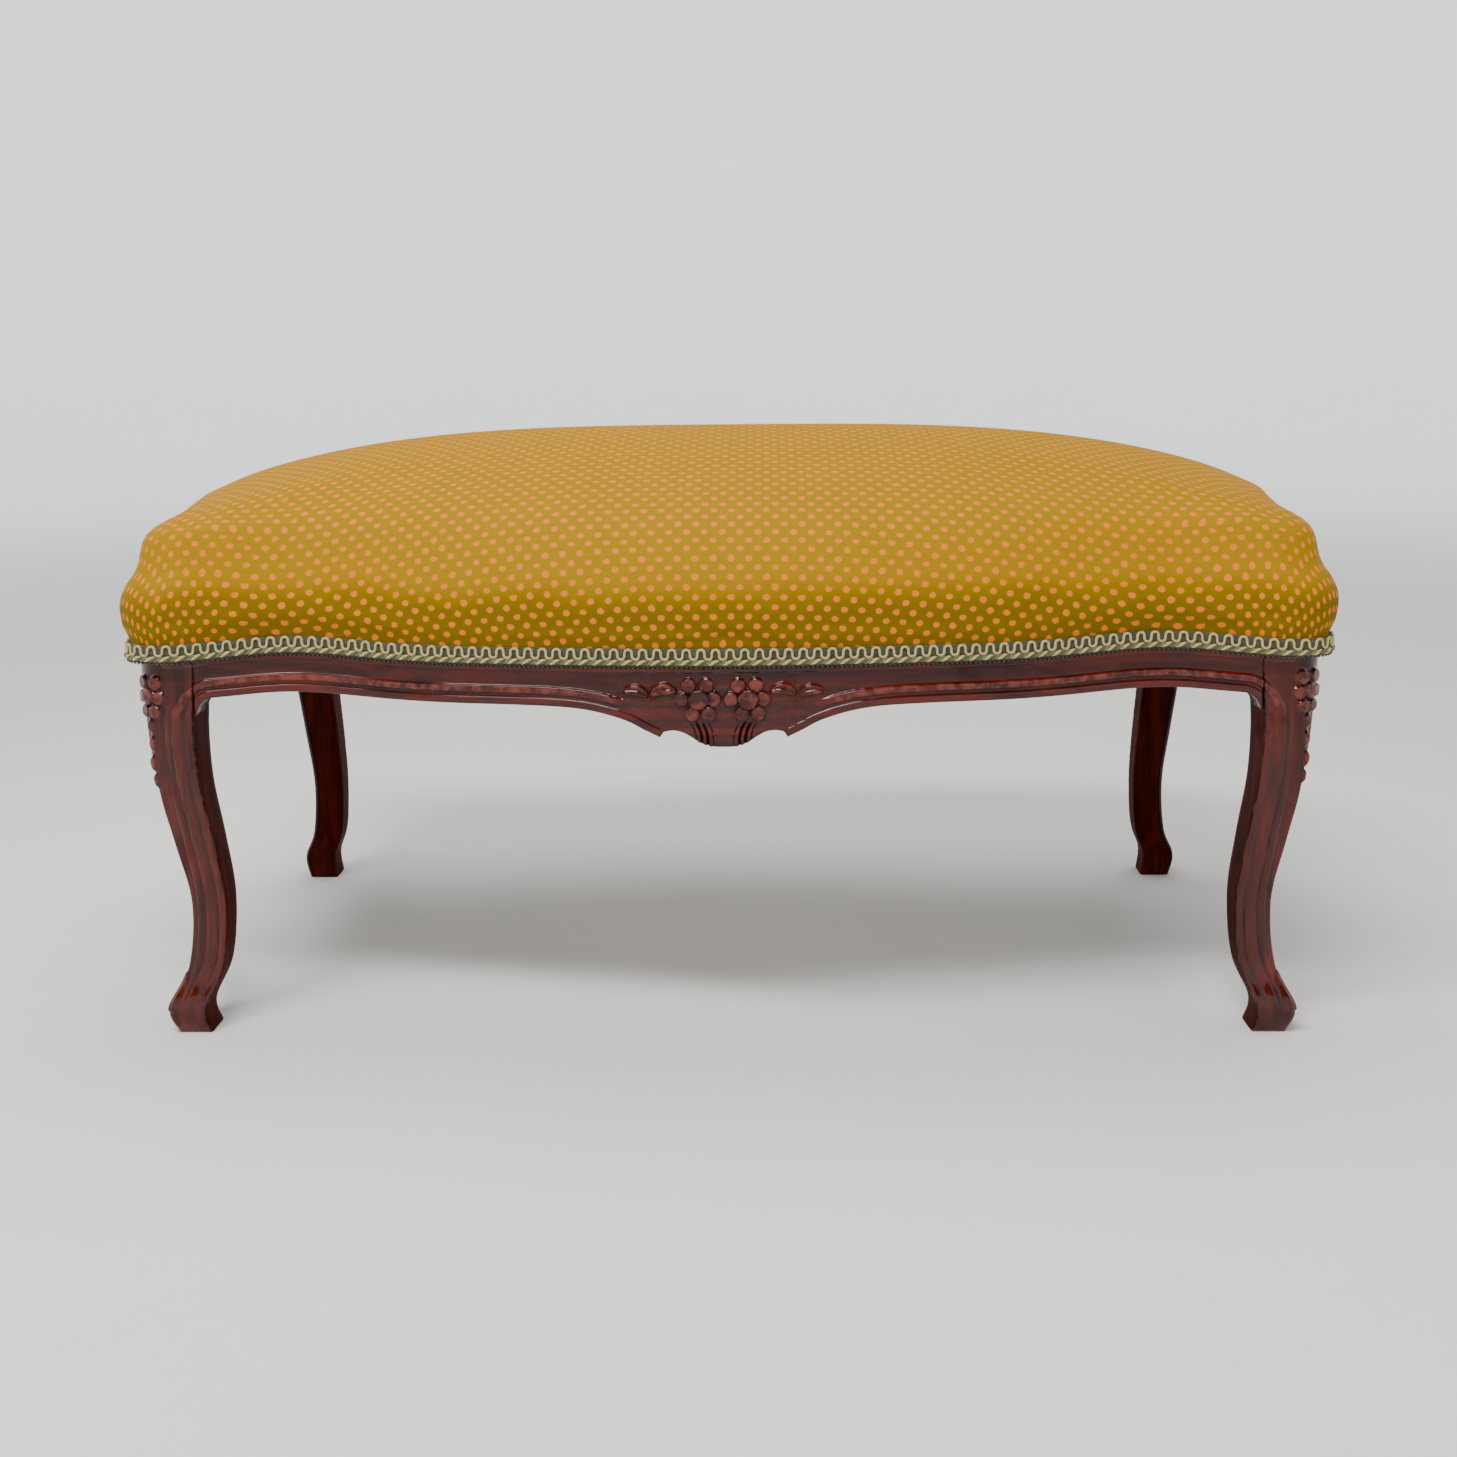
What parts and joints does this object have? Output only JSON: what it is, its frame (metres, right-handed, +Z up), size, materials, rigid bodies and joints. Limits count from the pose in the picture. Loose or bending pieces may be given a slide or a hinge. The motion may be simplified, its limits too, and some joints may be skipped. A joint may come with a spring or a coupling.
{
  "type": "upholstered bench",
  "caption": "Low upholstered bench with a serpentine domed seat, braid trim, carved apron and cabriole legs, free-standing.",
  "frame": {"origin": "on the floor under the middle of the seat", "axes": "+X along the bench, +Y towards its back, +Z up"},
  "size_m": [0.951, 0.505, 0.4585],
  "materials": {
    "show_wood": "dark red-brown polished mahogany, glossy varnish with wear",
    "frame_wood": "plain sawn beech",
    "screw_steel": "dull plain steel",
    "webbing": "woven jute webbing",
    "hessian": "open plain-woven jute",
    "stuffing": "curled hair",
    "wadding": "soft cotton wadding",
    "cover_fabric": "mustard and olive twill with rows of raised orange dots",
    "gimp": "dark green and gold woven braid with a pale serpentine cord"
  },
  "bodies": {
    "root": {"leg_front_left": "show_wood", "leg_front_right": "show_wood", "leg_rear_left": "show_wood", "leg_rear_right": "show_wood", "rail_front": "show_wood", "rail_rear": "show_wood", "rail_left": "show_wood", "rail_right": "show_wood", "corner_block_front_left": "frame_wood", "corner_block_front_right": "frame_wood", "corner_block_rear_left": "frame_wood", "corner_block_rear_right": "frame_wood", "screw_long_front_left": "screw_steel", "screw_end_front_left": "screw_steel", "screw_long_front_right": "screw_steel", "screw_end_front_right": "screw_steel", "screw_long_rear_left": "screw_steel", "screw_end_rear_left": "screw_steel", "screw_long_rear_right": "screw_steel", "screw_end_rear_right": "screw_steel", "webbing_cross_1": "webbing", "webbing_cross_2": "webbing", "webbing_cross_3": "webbing", "webbing_cross_4": "webbing", "webbing_cross_5": "webbing", "webbing_cross_6": "webbing", "webbing_cross_7": "webbing", "webbing_long_1": "webbing", "webbing_long_2": "webbing", "webbing_long_3": "webbing", "hessian": "hessian", "stuffing": "stuffing", "wadding": "wadding", "seat_cover": "cover_fabric", "gimp_braid": "gimp"}
  },
  "joints": []
}
